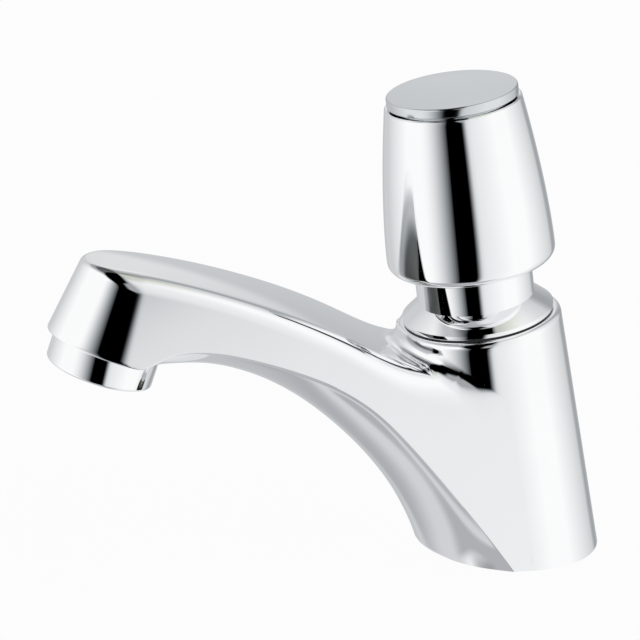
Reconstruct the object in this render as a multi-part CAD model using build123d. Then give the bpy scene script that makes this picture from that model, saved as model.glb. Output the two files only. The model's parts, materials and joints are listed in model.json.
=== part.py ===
from build123d import *
import os
from math import cos, radians, sin, sqrt, tan

# A push timed tap for a basin. Millimetres, +Z up, spout towards -Y.
# The origin is the centre of the base, on the deck. Heights named after the barrel
# run along its leaning axis, and heights named after the outlet run up the stream's axis.

os.makedirs("parts", exist_ok=True)

# Fits and cutting allowances
thread_clearance = 0.03
fit_clearance = 0.05
running_clearance = 0.08
seal_clearance = 0.2
overrun = 6.0

# Barrel of the casting
lean_angle = 10.8
base_radius = 25.0
barrel_narrowing = 3.0
rim_round = 1.8
chamber_radius = 15.5
inlet_chamber_radius = 9.5
inlet_chamber_floor = 9.0
bonnet_thread_radius = 17.0
gasket_recess_depth = 1.8
gasket_margin = 2.2

# Spout of the casting
outlet_reach = 114.2
outlet_angle = 16.2
nose_radius = 16.0
nose_taper = 7.5
flank_inset = 0.12
underside_allowance = 1.0
root_round = 4.0
top_edge_round = 3.4
waterway_radius = 4.5

# Button travel and the bonnet that it slides on
button_travel = 7.0
pressed_gap = 2.9
neck_stop_gap = 1.3
seam_width = 0.4
collar_radius = 20.2
collar_band_height = 2.2
collar_shoulder_height = 2.8
neck_radius = 15.6
bonnet_skirt_height = 5.9
spring_well_radius = 12.4
spring_floor_rise = 4.0
bush_radius = 5.0
bush_length = 4.8
neck_edge_round = 0.8
o_ring_section = 0.85

# Button shell and its disc
knob_radius = 22.3
knob_height = 44.2
knob_edge_round = 2.4
knob_wall = 2.6
knob_guide_height = 5.0
knob_web_rise = 27.0
knob_web_thickness = 3.5
disc_radius = 17.2
disc_thickness = 2.5
disc_chamfer = 0.5
disc_spigot_length = 6.5
disc_spigot_radius = 15.3
screw_head_radius = 4.2
screw_head_height = 3.0
screw_radius = 2.0
screw_length = 8.0
screw_slot_width = 1.0
screw_slot_depth = 1.4

# Cartridge inside the barrel
cartridge_height = 33.0
seat_thickness = 3.0
seat_lip_height = 1.0
seat_lip_radius = 7.0
orifice_radius = 5.0
housing_waist_radius = 13.9
housing_land_height = 3.2
housing_lower_bore = 10.5
timing_bore = 12.0
partition_thickness = 2.5
window_width = 6.0
window_count = 4
spindle_radius = 3.0
piston_thickness = 3.4
piston_rest_gap = 2.1
piston_stop_gap = 0.9
cup_seal_height = 2.6
cup_lip_width = 1.0
retaining_ring_thickness = 0.9
retaining_ring_radius = 5.2
bleed_pin_radius = 0.7
bleed_pin_offset = 8.0
bleed_hole_clearance = 0.35

# Valve under the seat
washer_thickness = 2.2
washer_radius = 7.5
holder_thickness = 3.0
holder_wall = 0.9
holder_lip_height = 1.3
valve_nut_height = 2.4
valve_nut_radius = 3.9
valve_stop_gap = 1.6

# Return spring
spring_wire_radius = 0.8
spring_mean_radius = 8.6
spring_turns = 8
spring_washer_thickness = 0.8
spring_washer_radius = 11.6

# Outlet fittings
aerator_radius = 14.1
aerator_rise = 6.5
aerator_thread_radius = 12.05
aerator_thread_length = 6.5
aerator_wall = 1.25
aerator_lip = 0.9
aerator_edge_round = 0.7
recess_depth = 9.0
outlet_chamber_radius = 9.0
outlet_chamber_depth = 4.0
insert_height = 7.0
insert_hole_radius = 0.9
insert_hole_pitch = 2.7
regulator_height = 2.4
regulator_hole_radius = 1.3
regulator_hole_count = 8
aerator_gasket_height = 2.1

# Tail and deck fixing
tail_radius = 10.48
tail_length = 48.0
tail_socket_depth = 9.6
tail_bore = 6.5
tail_chamfer = 1.0
relief_gap = 1.5
relief_width = 1.5
relief_depth = 0.6
deck_thickness = 20.0
clamp_washer_radius = 21.0
rubber_washer_thickness = 3.0
steel_washer_thickness = 1.5
back_nut_height = 7.0
back_nut_flats = 27.0
washer_bore_clearance = 0.25
strainer_length = 10.0
strainer_flange_radius = 7.9
strainer_flange_height = 1.0
strainer_wall = 0.7
strainer_slot_width = 1.2
strainer_slot_count = 6

# The outlet's height and the top of the spout's flat sides, as shares of the barrel's rim height
outlet_height_share = 0.7982
flank_height_share = 1.4

# How far up the collar's shoulder its middle lies
shoulder_bulge_share = 0.62

# Windows in the cartridge, as shares of the height between the seat and the partition
window_height_share = 0.52
window_middle_share = 0.66

# Outline of the button, as shares of its height and of its widest radius
knob_outline_shares = [(0.06, 1.0), (0.30, 0.977), (0.55, 0.930), (0.80, 0.864), (1.0, 0.803)]

# Top line of the spout, as shares of the outlet's reach and of the barrel's rim height
top_line_shares = [
    (-0.30, 0.80), (0.0, 0.815), (0.18, 0.832), (0.27, 0.851), (0.345, 0.892), (0.45, 0.977),
    (0.60, 1.082), (0.78, 1.180), (0.92, 1.235), (1.02, 1.238), (1.10, 1.195), (1.20, 1.10),
]

# Lower edge of the flanks, and the keel in the middle of the underside, from the nose to below the
# deck, as shares of the same two sizes. The keel's first points lie within the nose's foot.
crease_line_shares = [
    (0.93, 0.850), (0.90, 0.895), (0.858, 0.924), (0.797, 0.945), (0.722, 0.924), (0.635, 0.883),
    (0.50, 0.805), (0.335, 0.597), (0.202, 0.331), (0.126, 0.171), (0.048, 0.0), (0.016, -0.07),
]
keel_line_shares = [
    (0.905, 0.74), (0.878, 0.795), (0.846, 0.822), (0.792, 0.843), (0.728, 0.830), (0.655, 0.786),
    (0.545, 0.683), (0.405, 0.480), (0.292, 0.245), (0.245, 0.100), (0.2195, 0.0), (0.203, -0.07),
]
nose_keel_count = 3
underside_station_count = 15

# Widths of the underside at the nose and at the deck, as shares of the base radius: the flat land
# by the crease ends at the first, and the hollow band meets the keel panel at the second
land_shares = (0.56, 0.98)
band_shares = (0.465, 0.84)

# Depth and sag of the hollow band under the spout and at the deck, as shares of the base radius
band_depth_shares = (0.05, 0.40)
band_sag_shares = (0.012, -0.014)

# Heights along the button's axis
valve_height = seat_lip_height + seal_clearance + washer_thickness + holder_thickness + valve_nut_height
chamber_floor = tail_socket_depth + valve_stop_gap + button_travel + valve_height
seat_top = chamber_floor + seat_thickness
housing_top = chamber_floor + cartridge_height
rim_height = housing_top + bonnet_skirt_height
collar_bottom = rim_height + seam_width
shoulder_bottom = collar_bottom + collar_band_height
neck_bottom = shoulder_bottom + collar_shoulder_height
spring_floor = rim_height + spring_floor_rise
knob_bottom_height = neck_bottom + button_travel + pressed_gap
knob_top_height = knob_bottom_height + knob_height
web_bottom = knob_bottom_height + knob_web_rise
web_top = web_bottom + knob_web_thickness
neck_top = web_bottom - button_travel - neck_stop_gap
piston_top = housing_top - piston_rest_gap
piston_bottom = piston_top - piston_thickness
partition_top = piston_bottom - cup_seal_height - button_travel - piston_stop_gap
partition_bottom = partition_top - partition_thickness
washer_top = chamber_floor - seat_lip_height - seal_clearance
washer_bottom = washer_top - washer_thickness
holder_bottom = washer_bottom - holder_thickness
valve_nut_bottom = holder_bottom - valve_nut_height

# Planes of the two leaning axes
lean = radians(lean_angle)
button_plane = Plane(origin=(0, 0, 0), x_dir=(1, 0, 0), z_dir=(0, -sin(lean), cos(lean)))
outlet_lean = radians(outlet_angle)
outlet_up = Vector(0, sin(outlet_lean), cos(outlet_lean))
outlet_centre = Vector(0, -outlet_reach, outlet_height_share * rim_height)
outlet_plane = Plane(origin=outlet_centre, x_dir=(1, 0, 0), z_dir=outlet_up)
nose_centre = outlet_centre + outlet_up * aerator_rise
nose_forward = Vector(0, -cos(outlet_lean), sin(outlet_lean))

# Heights up the outlet's axis
recess_top = aerator_rise + recess_depth
insert_bottom = aerator_lip + fit_clearance
regulator_bottom = insert_bottom + insert_height + fit_clearance
outlet_bore = aerator_thread_radius - aerator_wall

# Sizes that several pieces share
rim_radius = base_radius - barrel_narrowing
gland_bottom = spring_floor - bush_length - 2 * o_ring_section - seal_clearance
gland_ring_radius = spindle_radius + running_clearance + o_ring_section
spring_bottom = spring_floor + spring_washer_thickness + fit_clearance
spring_top = web_bottom - fit_clearance
bonnet_ring_radius = bonnet_thread_radius - o_ring_section - 2 * thread_clearance
bonnet_ring_height = rim_height - o_ring_section - seal_clearance / 2
housing_ring_heights = [
    seat_top + housing_land_height / 2, housing_top - housing_land_height / 2]
housing_ring_radius = chamber_radius - o_ring_section - fit_clearance
housing_groove_radius = housing_ring_radius - o_ring_section
bleed_pin_depth = partition_thickness / 2
clamp_inner = tail_radius + washer_bore_clearance
gasket_recess_radius = base_radius - gasket_margin
rubber_top = -deck_thickness
steel_top = rubber_top - rubber_washer_thickness
back_nut_top = steel_top - steel_washer_thickness
relief_top = back_nut_top - back_nut_height - relief_gap


def turned(points, plane=Plane.XY):
    """A solid of revolution about the plane's Z axis, from (radius, height) points."""
    outline = Polyline(*[(radius, 0, height) for radius, height in points], close=True)
    return plane * revolve(make_face(outline), Axis.Z)


def ring(inner, outer, bottom, top, plane=Plane.XY):
    """A plain ring, or a disc where the inner radius is zero."""
    return turned([(inner, bottom), (outer, bottom), (outer, top), (inner, top)], plane)


def o_ring(mean_radius, height, section, plane):
    """A round-section sealing ring."""
    return plane * (Pos(0, 0, height) * Torus(mean_radius, section))


def save(solid, name):
    """Writes one node's STEP file."""
    solid.label = name
    export_step(solid, "parts/" + name + ".step")


# Casting: barrel, spout, nose and underside

def barrel():
    """The leaning cone that holds the cartridge, with its rounded rim."""
    taper = barrel_narrowing / rim_height
    below = -overrun
    outline = make_face(Polyline(
        (0, 0, below), (base_radius - taper * below, 0, below), (rim_radius, 0, rim_height),
        (0, 0, rim_height), close=True,
    ))
    cone = revolve(outline, Axis.Z)
    rim = cone.edges().filter_by(GeomType.CIRCLE).sort_by(Axis.Z)[-1]
    return button_plane * fillet(rim, rim_round)


def flank_outline(height):
    """Level outline of the spout's sides: two circles and the lines that touch both."""
    taper = barrel_narrowing / rim_height
    rear_y = -height * tan(lean)
    rear_radius = base_radius - taper * height / cos(lean) - flank_inset
    climb = (height - nose_centre.Z) / cos(outlet_lean)
    front_radius = nose_radius - climb * tan(radians(nose_taper))
    nose_lip = nose_centre + nose_forward * nose_radius
    front_slope = tan(outlet_lean + radians(nose_taper))
    front_y = nose_lip.Y + (height - nose_lip.Z) * front_slope + front_radius
    turn = (front_radius - rear_radius) / (rear_y - front_y)
    side = sqrt(1 - turn * turn)
    rear_x, rear_touch = rear_radius * side, rear_y + rear_radius * turn
    front_x, front_touch = front_radius * side, front_y + front_radius * turn
    outline = [
        ThreePointArc(
            (rear_x, rear_touch, height), (0, rear_y + rear_radius, height),
            (-rear_x, rear_touch, height)),
        Line((-rear_x, rear_touch, height), (-front_x, front_touch, height)),
        ThreePointArc(
            (-front_x, front_touch, height), (0, front_y - front_radius, height),
            (front_x, front_touch, height)),
        Line((front_x, front_touch, height), (rear_x, rear_touch, height)),
    ]
    return make_face(outline)


def side_points(shares):
    """Points in the plane x = 0, from shares of the reach and of the rim height."""
    return [(0, -reach * outlet_reach, rise * rim_height) for reach, rise in shares]


def spout_block():
    """Sides and top of the spout, with what the underside is cut from left on."""
    sides = loft([flank_outline(0), flank_outline(flank_height_share * rim_height)], ruled=True)
    top_points = side_points(top_line_shares)
    keel_points = [(0, y - underside_allowance, z - underside_allowance)
                   for _, y, z in side_points(keel_line_shares[nose_keel_count:])]
    nose_front = nose_centre + nose_forward * (nose_radius + overrun)
    nose_rear = nose_centre - nose_forward * nose_radius
    top_line = Spline(*top_points)
    keel_line = Spline(*keel_points)
    rear_y = top_points[0][1]
    outline = make_face([
        top_line,
        Line(top_points[-1], nose_front),
        Line(nose_front, nose_rear),
        Line(nose_rear, keel_points[0]),
        keel_line,
        Line(keel_points[-1], (0, rear_y, 0)),
        Line((0, rear_y, 0), top_points[0]),
    ])
    wide = base_radius + overrun
    block = sides & extrude(Pos(-wide, 0, 0) * outline, 2 * wide, dir=(1, 0, 0))
    top_face = block.faces().filter_by(GeomType.EXTRUSION).sort_by(Axis.Z)[-1]
    return fillet(top_face.edges(), top_edge_round)


def between(shares, station):
    """A length between two shares of the base radius."""
    start, end = shares
    return (start + (end - start) * station) * base_radius


def underside_section(crease, keel, station):
    """One closed section of what is cut away under the spout, from station 0 at the nose to 1."""
    down = (keel - crease).normalized()
    depth = (keel - crease).length
    across = Vector(1, 0, 0)
    near_deck = station ** 8

    def place(x, fall):
        return crease + across * x + down * fall

    wide = base_radius + overrun
    deep = depth + overrun / 2
    land_x, band_x = between(land_shares, station), between(band_shares, station)
    band_fall, band_sag = between(band_depth_shares, near_deck), between(band_sag_shares, near_deck)
    middle_x, middle_fall = (land_x + band_x) / 2, band_fall / 2
    slope = sqrt((land_x - band_x) ** 2 + band_fall ** 2)
    hollow_x = middle_x - band_sag * band_fall / slope
    hollow_fall = middle_fall - band_sag * (land_x - band_x) / slope
    return make_face([
        Line(place(-wide, 0), place(-land_x, 0)),
        ThreePointArc(place(-land_x, 0), place(-hollow_x, hollow_fall), place(-band_x, band_fall)),
        ThreePointArc(place(-band_x, band_fall), place(0, depth), place(band_x, band_fall)),
        ThreePointArc(place(band_x, band_fall), place(hollow_x, hollow_fall), place(land_x, 0)),
        Line(place(land_x, 0), place(wide, 0)),
        Line(place(wide, 0), place(wide, deep)),
        Line(place(wide, deep), place(-wide, deep)),
        Line(place(-wide, deep), place(-wide, 0)),
    ])


def root_edges(casting):
    """Edges where the spout's top meets the barrel."""
    wall = casting.faces().filter_by(GeomType.CONE).sort_by(SortBy.AREA)[-1]
    lowest = side_points(top_line_shares)[0][2] - 2 * top_edge_round
    return wall.edges().filter_by(GeomType.BSPLINE).filter_by(
        lambda edge: edge.bounding_box().min.Z > lowest)


def nose_boss():
    """The round lower end of the nose, which the aerator ring stands out of."""
    inset_radius = nose_radius - flank_inset
    narrowing = overrun * tan(radians(nose_taper))
    return turned([
        (0, aerator_rise), (inset_radius, aerator_rise),
        (inset_radius - narrowing, aerator_rise + overrun), (0, aerator_rise + overrun),
    ], outlet_plane)


def waterway():
    """The straight bore from the cartridge chamber to the space above the aerator."""
    start = button_plane.from_local_coords(Vector(0, 0, (chamber_floor + housing_top) / 2))
    end = outlet_plane.from_local_coords(Vector(0, 0, recess_top + outlet_chamber_depth))
    run = end - start
    bore = Cylinder(waterway_radius, run.length, align=(Align.CENTER, Align.CENTER, Align.MIN))
    return Plane(origin=start, x_dir=(1, 0, 0), z_dir=run.normalized()) * bore


def tap_body():
    """The whole casting, with every passage and recess in it."""
    crease_line = Spline(*side_points(crease_line_shares))
    keel_line = Spline(*side_points(keel_line_shares))
    stations = [index / (underside_station_count - 1) for index in range(underside_station_count)]
    underside = loft([
        underside_section(crease_line @ station, keel_line @ station, station) for station in stations])
    casting = barrel() + (spout_block() - underside)
    casting = fillet(root_edges(casting), root_round) + nose_boss()
    casting -= Box(
        4 * base_radius, 4 * base_radius, 2 * overrun, align=(Align.CENTER, Align.CENTER, Align.MAX))
    chamber = turned([
        (0, inlet_chamber_floor), (inlet_chamber_radius, inlet_chamber_floor),
        (inlet_chamber_radius, chamber_floor), (chamber_radius, chamber_floor),
        (chamber_radius, housing_top), (bonnet_thread_radius, housing_top),
        (bonnet_thread_radius, rim_height + overrun), (0, rim_height + overrun),
    ], button_plane)
    recess = turned([
        (0, aerator_rise - overrun), (aerator_thread_radius + fit_clearance, aerator_rise - overrun),
        (aerator_thread_radius + fit_clearance, recess_top), (outlet_chamber_radius, recess_top),
        (outlet_chamber_radius, recess_top + outlet_chamber_depth),
        (0, recess_top + outlet_chamber_depth),
    ], outlet_plane)
    socket = ring(0, tail_radius + thread_clearance, -overrun, tail_socket_depth)
    gasket_recess = ring(0, gasket_recess_radius, -overrun, gasket_recess_depth)
    return casting - chamber - recess - socket - gasket_recess - waterway()


# Bonnet and what it carries

def bonnet():
    """Collar, convex shoulder and neck, with the skirt that screws into the barrel."""
    skirt = bonnet_thread_radius - thread_clearance
    groove_top = collar_bottom - seam_width
    groove_bottom = groove_top - 2 * o_ring_section - seal_clearance
    groove_radius = bonnet_ring_radius - o_ring_section - thread_clearance
    bulge_radius = (collar_radius + neck_radius) / 2
    bulge_height = shoulder_bottom + shoulder_bulge_share * collar_shoulder_height
    outline = make_face([
        Polyline(
            (spindle_radius + seal_clearance, 0, housing_top), (skirt, 0, housing_top),
            (skirt, 0, groove_bottom), (groove_radius, 0, groove_bottom),
            (groove_radius, 0, groove_top), (skirt, 0, groove_top),
            (skirt, 0, collar_bottom), (collar_radius, 0, collar_bottom),
            (collar_radius, 0, shoulder_bottom),
        ),
        ThreePointArc(
            (collar_radius, 0, shoulder_bottom),
            (bulge_radius, 0, bulge_height),
            (neck_radius, 0, neck_bottom)),
        Polyline(
            (neck_radius, 0, neck_bottom), (neck_radius, 0, neck_top - neck_edge_round),
            (neck_radius - neck_edge_round, 0, neck_top), (spring_well_radius, 0, neck_top),
            (spring_well_radius, 0, spring_floor), (bush_radius, 0, spring_floor),
            (bush_radius, 0, gland_bottom), (spindle_radius + seal_clearance, 0, gland_bottom),
            (spindle_radius + seal_clearance, 0, housing_top),
        ),
    ])
    return button_plane * revolve(outline, Axis.Z)


def return_spring():
    """The coil spring round the spindle, between the spring washer and the button's web."""
    bottom = spring_bottom + spring_wire_radius
    height = spring_top - spring_wire_radius - bottom
    path = Helix(pitch=height / spring_turns, height=height, radius=spring_mean_radius)
    wire = Plane(origin=path @ 0, z_dir=path % 0) * Circle(spring_wire_radius)
    return button_plane * (Pos(0, 0, bottom) * sweep(wire, path, is_frenet=True))


# Button

def knob_outline_points():
    """Points of the button's outer outline, from the foot to the top."""
    return [(radius * knob_radius, 0, knob_bottom_height + rise * knob_height)
            for rise, radius in knob_outline_shares]


def push_knob():
    """The button's shell, with the web that the spindle is screwed to and its guide ring."""
    points = knob_outline_points()
    foot = (points[0][0] - knob_edge_round, 0, knob_bottom_height)
    guide = neck_radius + running_clearance
    guide_top = knob_bottom_height + knob_guide_height
    lower_wall = points[1][0] - knob_wall
    socket = disc_spigot_radius + fit_clearance
    outline = make_face([
        Spline(*points, tangents=((0, 0, 1), (points[-1][0] - points[-2][0], 0,
                                              points[-1][2] - points[-2][2]))),
        Polyline(
            points[-1], (socket, 0, knob_top_height), (socket, 0, web_top),
            (screw_radius + fit_clearance, 0, web_top), (screw_radius + fit_clearance, 0, web_bottom),
            (socket, 0, web_bottom), (lower_wall, 0, guide_top), (guide, 0, guide_top),
            (guide, 0, knob_bottom_height), foot,
        ),
        TangentArc(points[0], foot, tangent=(0, 0, -1)),
    ])
    return button_plane * revolve(outline, Axis.Z)


def top_disc():
    """The flat disc in the button's top, on a spigot that is pressed into the shell."""
    flange_bottom = knob_top_height + seam_width
    flange_top = flange_bottom + disc_thickness
    return turned([
        (0, flange_bottom - disc_spigot_length), (disc_spigot_radius, flange_bottom - disc_spigot_length),
        (disc_spigot_radius, flange_bottom), (disc_radius, flange_bottom),
        (disc_radius, flange_top - disc_chamfer), (disc_radius - disc_chamfer, flange_top),
        (0, flange_top),
    ], button_plane)


def knob_screw():
    """The slotted screw that holds the button on the spindle."""
    head_top = web_top + screw_head_height
    screw = turned([
        (0, web_top - screw_length), (screw_radius, web_top - screw_length), (screw_radius, web_top),
        (screw_head_radius, web_top), (screw_head_radius, head_top), (0, head_top),
    ], button_plane)
    slot = Pos(0, 0, head_top) * Box(
        3 * screw_head_radius, screw_slot_width, 2 * screw_slot_depth)
    return screw - button_plane * slot


def spindle():
    """The rod from the button's web to the valve, with a threaded stud at its foot."""
    bore = screw_radius + fit_clearance
    bore_bottom = web_top - screw_length - seal_clearance
    stud_bottom = valve_nut_bottom - seal_clearance
    return turned([
        (0, stud_bottom), (screw_radius, stud_bottom), (screw_radius, washer_bottom),
        (spindle_radius, washer_bottom), (spindle_radius, web_bottom), (bore, web_bottom),
        (bore, bore_bottom), (0, bore_bottom),
    ], button_plane)


# Cartridge

def cartridge_housing():
    """The guide tube, with sealing lands, a partition, and windows that let the water out."""
    land = chamber_radius - seal_clearance
    lower_top = seat_top + housing_land_height
    upper_bottom = housing_top - housing_land_height
    tube = turned([
        (housing_lower_bore, seat_top), (land, seat_top), (land, lower_top),
        (housing_waist_radius, lower_top), (housing_waist_radius, upper_bottom),
        (land, upper_bottom), (land, housing_top), (timing_bore, housing_top),
        (timing_bore, partition_top), (spindle_radius + running_clearance, partition_top),
        (spindle_radius + running_clearance, partition_bottom),
        (housing_lower_bore, partition_bottom),
    ], button_plane)
    for height in housing_ring_heights:
        tube -= ring(
            housing_groove_radius, chamber_radius, height - o_ring_section, height + o_ring_section,
            button_plane)
    lower_height = partition_bottom - seat_top
    window_height = window_height_share * lower_height
    window_middle = seat_top + window_middle_share * lower_height
    for index in range(window_count):
        window = Pos(housing_waist_radius, 0, window_middle) * Box(
            housing_waist_radius, window_width, window_height)
        tube -= button_plane * (Rot(0, 0, (index + 0.5) * 360 / window_count) * window)
    pin_hole = Pos(bleed_pin_offset, 0, partition_top) * Cylinder(
        bleed_pin_radius + thread_clearance, 2 * bleed_pin_depth)
    return tube - button_plane * pin_hole


def bleed_hole(bottom, top):
    """The clearance hole round the bleed pin, through a moving piece."""
    height = top - bottom
    hole = Pos(bleed_pin_offset, 0, (top + bottom) / 2) * Cylinder(
        bleed_pin_radius + bleed_hole_clearance, height + overrun)
    return button_plane * hole


def piston():
    """The disc that the timing water flows past through its bleed hole."""
    body = ring(
        spindle_radius + fit_clearance, timing_bore - bleed_hole_clearance, piston_bottom, piston_top,
        button_plane)
    return body - bleed_hole(piston_bottom, piston_top)


def piston_cup_seal():
    """The cup under the piston, whose lip runs in the timing bore."""
    bottom = piston_bottom - cup_seal_height
    lip = timing_bore - running_clearance
    cup = turned([
        (spindle_radius + fit_clearance, piston_bottom - cup_seal_height / 2),
        (lip - cup_lip_width, piston_bottom - cup_seal_height / 2), (lip - cup_lip_width, bottom),
        (lip, bottom), (lip - bleed_hole_clearance, piston_bottom),
        (spindle_radius + fit_clearance, piston_bottom),
    ], button_plane)
    return cup - bleed_hole(bottom, piston_bottom)


def piston_ring():
    """The open spring ring on the spindle that holds the piston down."""
    clip = ring(
        spindle_radius + fit_clearance, retaining_ring_radius, piston_top,
        piston_top + retaining_ring_thickness, button_plane)
    mouth = Pos(0, retaining_ring_radius, piston_top) * Box(
        spindle_radius, 2 * retaining_ring_radius, overrun)
    return clip - button_plane * mouth


def bleed_pin():
    """The fixed wire that stands in the piston's bleed hole and keeps it clean."""
    bottom = partition_top - bleed_pin_depth
    length = housing_top - seal_clearance - bottom
    wire = Pos(bleed_pin_offset, 0, bottom) * Cylinder(
        bleed_pin_radius, length, align=(Align.CENTER, Align.CENTER, Align.MIN))
    return button_plane * wire


def valve_seat():
    """The ring on the chamber's ledge, with the lip that the valve closes on."""
    flange = chamber_radius - seal_clearance
    return turned([
        (orifice_radius, chamber_floor - seat_lip_height),
        (seat_lip_radius, chamber_floor - seat_lip_height),
        (seat_lip_radius, chamber_floor), (flange, chamber_floor), (flange, seat_top),
        (orifice_radius, seat_top),
    ], button_plane)


def valve_holder():
    """The dished plate that backs the valve washer."""
    rim = washer_radius + fit_clearance
    return turned([
        (screw_radius + fit_clearance, holder_bottom), (rim + holder_wall, holder_bottom),
        (rim + holder_wall, washer_bottom + holder_lip_height), (rim, washer_bottom + holder_lip_height),
        (rim, washer_bottom), (screw_radius + fit_clearance, washer_bottom),
    ], button_plane)


def valve_nut():
    """The nut under the valve holder."""
    nut = Pos(0, 0, valve_nut_bottom) * extrude(RegularPolygon(valve_nut_radius, 6), valve_nut_height)
    hole = Cylinder(screw_radius + fit_clearance, 4 * holder_bottom)
    return button_plane * (nut - hole)


# Outlet fittings

def aerator_housing():
    """The ring that screws into the nose and holds the aerator."""
    shell = turned([
        (outlet_bore - aerator_lip, 0), (aerator_radius, 0), (aerator_radius, aerator_rise),
        (aerator_thread_radius, aerator_rise),
        (aerator_thread_radius, aerator_rise + aerator_thread_length),
        (outlet_bore, aerator_rise + aerator_thread_length), (outlet_bore, aerator_lip),
        (outlet_bore - aerator_lip, aerator_lip),
    ])
    foot = shell.edges().filter_by(GeomType.CIRCLE).group_by(Axis.Z)[0].sort_by(SortBy.RADIUS)[-1]
    return outlet_plane * fillet(foot, aerator_edge_round)


def hole_pattern(rings, pitch, radius, height):
    """Straight holes in rings of six, twelve and so on, with one in the middle."""
    drill = Cylinder(radius, height, align=(Align.CENTER, Align.CENTER, Align.MIN))
    holes = [drill]
    for row in range(1, rings + 1):
        for index in range(6 * row):
            holes.append(Rot(0, 0, index * 60 / row) * Pos(row * pitch, 0, 0) * drill)
    return holes


def aerator_insert():
    """The pierced plug that mixes air into the stream."""
    plug = ring(0, outlet_bore - fit_clearance, 0, insert_height)
    plug -= hole_pattern(3, insert_hole_pitch, insert_hole_radius, insert_height)
    return outlet_plane * (Pos(0, 0, insert_bottom) * plug)


def flow_regulator():
    """The plate above the aerator, with a ring of metering holes."""
    plate = ring(0, outlet_bore - fit_clearance, 0, regulator_height)
    drill = Cylinder(regulator_hole_radius, 3 * regulator_height)
    for index in range(regulator_hole_count):
        plate -= Rot(0, 0, index * 360 / regulator_hole_count) * Pos(outlet_bore / 2, 0, 0) * drill
    return outlet_plane * (Pos(0, 0, regulator_bottom) * plate)


# Tail and deck fixing

def threaded_tail():
    """The inlet tail, screwed up into the base. A relief parts the back nut's run from the
    connector's, and a counterbore takes the strainer."""
    counterbore = strainer_flange_radius + fit_clearance
    relief_bottom = relief_top - relief_width
    relief_radius = tail_radius - relief_depth
    return turned([
        (counterbore, -tail_length), (tail_radius - tail_chamfer, -tail_length),
        (tail_radius, -tail_length + tail_chamfer), (tail_radius, relief_bottom),
        (relief_radius, relief_bottom), (relief_radius, relief_top), (tail_radius, relief_top),
        (tail_radius, tail_socket_depth),
        (tail_bore, tail_socket_depth), (tail_bore, -tail_length + strainer_flange_height),
        (counterbore, -tail_length + strainer_flange_height),
    ])


def back_nut():
    """The hexagon nut that clamps the tap to the deck."""
    nut = extrude(RegularPolygon(back_nut_flats / 2, 6, major_radius=False), back_nut_height)
    hole = Cylinder(tail_radius + thread_clearance, 3 * back_nut_height)
    return Pos(0, 0, back_nut_top - back_nut_height) * (nut - hole)


def inlet_strainer():
    """The slotted thimble in the foot of the tail."""
    outer = tail_bore - seal_clearance
    inner = outer - strainer_wall
    bottom = -tail_length
    thimble = turned([
        (inner, bottom), (strainer_flange_radius, bottom),
        (strainer_flange_radius, bottom + strainer_flange_height - thread_clearance),
        (outer, bottom + strainer_flange_height - thread_clearance),
        (outer, bottom + strainer_length), (0, bottom + strainer_length),
        (0, bottom + strainer_length - strainer_wall), (inner, bottom + strainer_length - strainer_wall),
    ])
    slot_height = strainer_length - 2 * strainer_flange_height - 2 * strainer_wall
    slot = Pos(outer, 0, bottom + strainer_length / 2) * Box(outer, strainer_slot_width, slot_height)
    for index in range(strainer_slot_count):
        thimble -= Rot(0, 0, index * 360 / strainer_slot_count) * slot
    return thimble


nodes = {
    "tap_body": tap_body(),
    "bonnet": bonnet(),
    "bonnet_oring": o_ring(bonnet_ring_radius, bonnet_ring_height, o_ring_section, button_plane),
    "spindle_bush": ring(
        spindle_radius + running_clearance, bush_radius - thread_clearance,
        spring_floor - bush_length, spring_floor, button_plane),
    "spindle_seal": o_ring(
        gland_ring_radius, gland_bottom + o_ring_section, o_ring_section, button_plane),
    "spring_washer": ring(
        spindle_radius + seal_clearance, spring_washer_radius, spring_floor,
        spring_floor + spring_washer_thickness, button_plane),
    "return_spring": return_spring(),
    "push_knob": push_knob(),
    "top_disc": top_disc(),
    "knob_screw": knob_screw(),
    "spindle": spindle(),
    "cartridge_housing": cartridge_housing(),
    "housing_orings": Compound(children=[
        o_ring(housing_ring_radius, height, o_ring_section, button_plane)
        for height in housing_ring_heights]),
    "piston": piston(),
    "piston_cup_seal": piston_cup_seal(),
    "piston_ring": piston_ring(),
    "bleed_pin": bleed_pin(),
    "valve_seat": valve_seat(),
    "valve_washer": ring(
        spindle_radius + fit_clearance, washer_radius, washer_bottom, washer_top, button_plane),
    "valve_holder": valve_holder(),
    "valve_nut": valve_nut(),
    "aerator_housing": aerator_housing(),
    "aerator_insert": aerator_insert(),
    "flow_regulator": flow_regulator(),
    "aerator_gasket": ring(
        outlet_chamber_radius + seal_clearance, aerator_thread_radius,
        recess_top - aerator_gasket_height, recess_top, outlet_plane),
    "threaded_tail": threaded_tail(),
    "inlet_strainer": inlet_strainer(),
    "base_gasket": ring(
        tail_radius + washer_bore_clearance, gasket_recess_radius - fit_clearance, 0,
        gasket_recess_depth),
    "tail_rubber_washer": ring(
        clamp_inner, clamp_washer_radius, rubber_top - rubber_washer_thickness, rubber_top),
    "fixing_washer": ring(
        clamp_inner, clamp_washer_radius, steel_top - steel_washer_thickness, steel_top),
    "back_nut": back_nut(),
}

for node_name, solid in nodes.items():
    save(solid, node_name)
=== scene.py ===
"""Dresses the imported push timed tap: polished chrome casting, button and fittings in a white tent."""

import json
from math import asin, atan2, cos, pi, radians, sin, sqrt, tan

import bmesh
import bpy
import numpy as np
from mathutils import Matrix, Vector


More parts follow.
